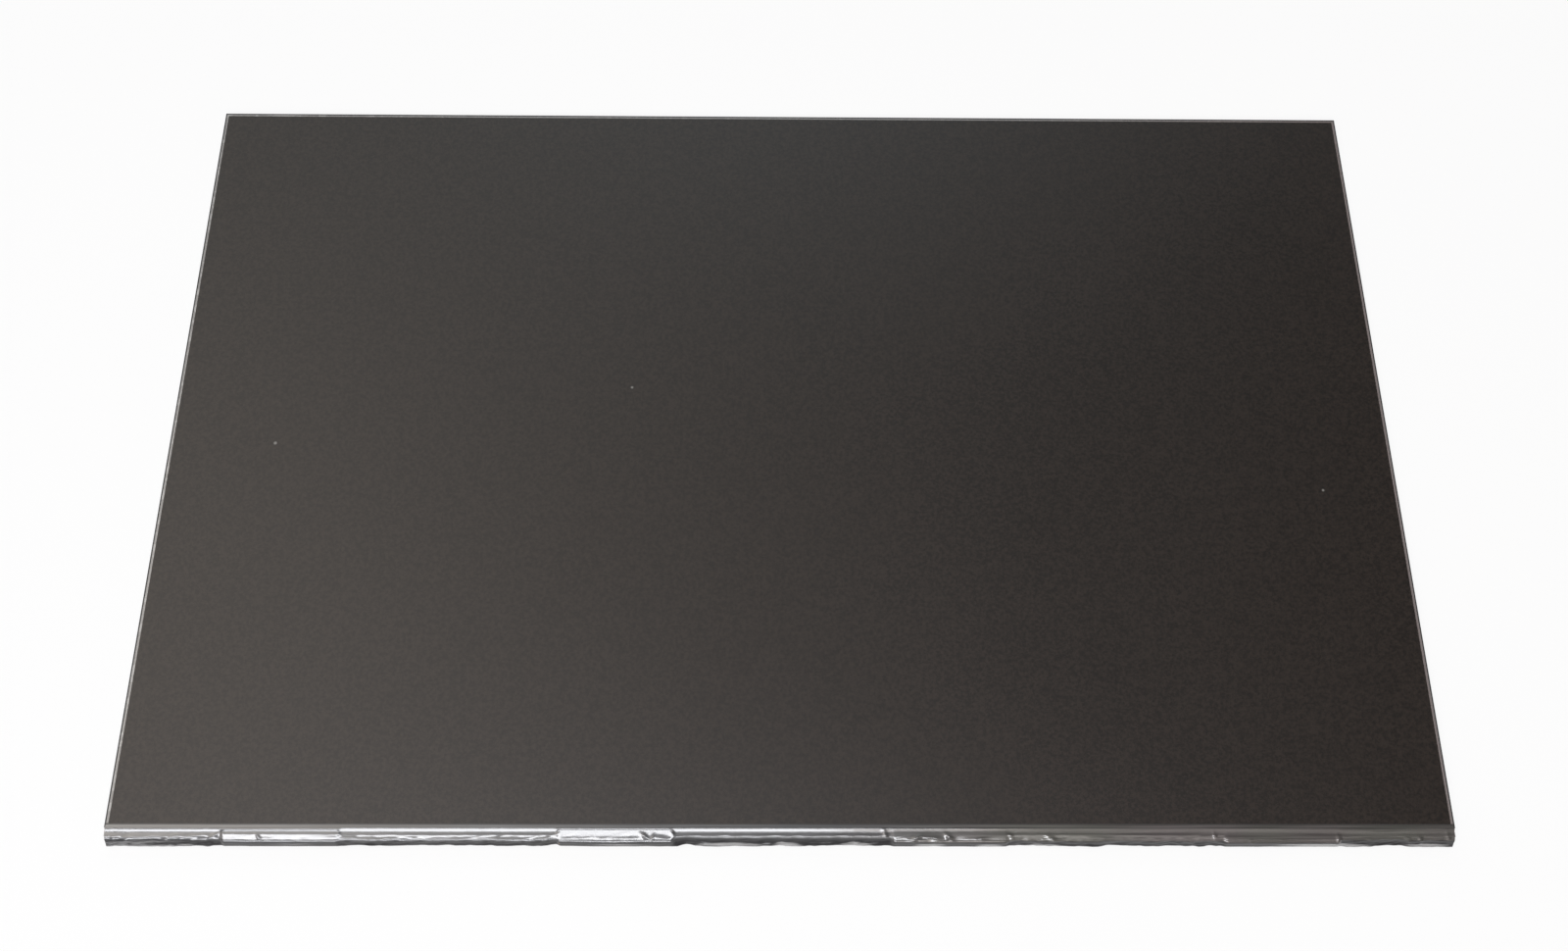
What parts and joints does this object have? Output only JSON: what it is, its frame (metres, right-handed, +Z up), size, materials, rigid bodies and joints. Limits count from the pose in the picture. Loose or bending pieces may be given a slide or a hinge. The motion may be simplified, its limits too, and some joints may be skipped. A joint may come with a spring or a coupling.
{
  "type": "laptop screen panel",
  "caption": "Bare laptop display module lying face up: matte screen cell and edge-lit backlight in a thin pressed tray, with a glossy film wrapped round its folded driver edge.",
  "frame": {"origin": "below the middle of the module, level with the lowest parts on its driver board", "axes": "+X along the width to the right of the picture, +Y from the driver edge to the far edge, +Z up out of the display face"},
  "size_m": [0.3066, 0.1974, 0.0036],
  "materials": {
    "polariser": null,
    "cell_glass": null,
    "optical_sheet": null,
    "light_guide": null,
    "white_sheet": null,
    "frame_plastic": null,
    "black_tape": null,
    "tray_metal": null,
    "white_flex": null,
    "led_body": null,
    "board_mask": null,
    "chip_mould": null,
    "ferrite": null,
    "capacitor_ceramic": null,
    "resistor_ceramic": null,
    "socket_plastic": null,
    "socket_steel": null,
    "contact_gold": null,
    "edge_film": null,
    "driver_film": null,
    "driver_chip": null
  },
  "bodies": {
    "root": {"array_glass": "cell_glass", "board_tape": "black_tape", "boost_diode": "chip_mould", "capacitors": "capacitor_ceramic", "colour_filter_glass": "cell_glass", "diffuser_sheet": "optical_sheet", "driver_board": "board_mask", "driver_chip_1": "driver_chip", "driver_chip_2": "driver_chip", "driver_chip_3": "driver_chip", "driver_chip_4": "driver_chip", "driver_film_1": "driver_film", "driver_film_2": "driver_film", "driver_film_3": "driver_film", "driver_film_4": "driver_film", "edge_film": "edge_film", "edge_tape_far": "black_tape", "edge_tape_left": "black_tape", "edge_tape_right": "black_tape", "frame_tape": "black_tape", "front_polariser": "polariser", "led_driver_chip": "chip_mould", "led_flex": "white_flex", "leds": "led_body", "light_guide_plate": "light_guide", "lower_prism_sheet": "optical_sheet", "memory_chip": "chip_mould", "mould_frame": "frame_plastic", "power_chip": "chip_mould", "power_inductors": "ferrite", "rear_polariser": "polariser", "rear_tray": "tray_metal", "reflector_sheet": "white_sheet", "resistors": "resistor_ceramic", "socket_body": "socket_plastic", "socket_contacts": "contact_gold", "socket_shell": "socket_steel", "timing_controller": "chip_mould", "upper_prism_sheet": "optical_sheet"}
  },
  "joints": []
}
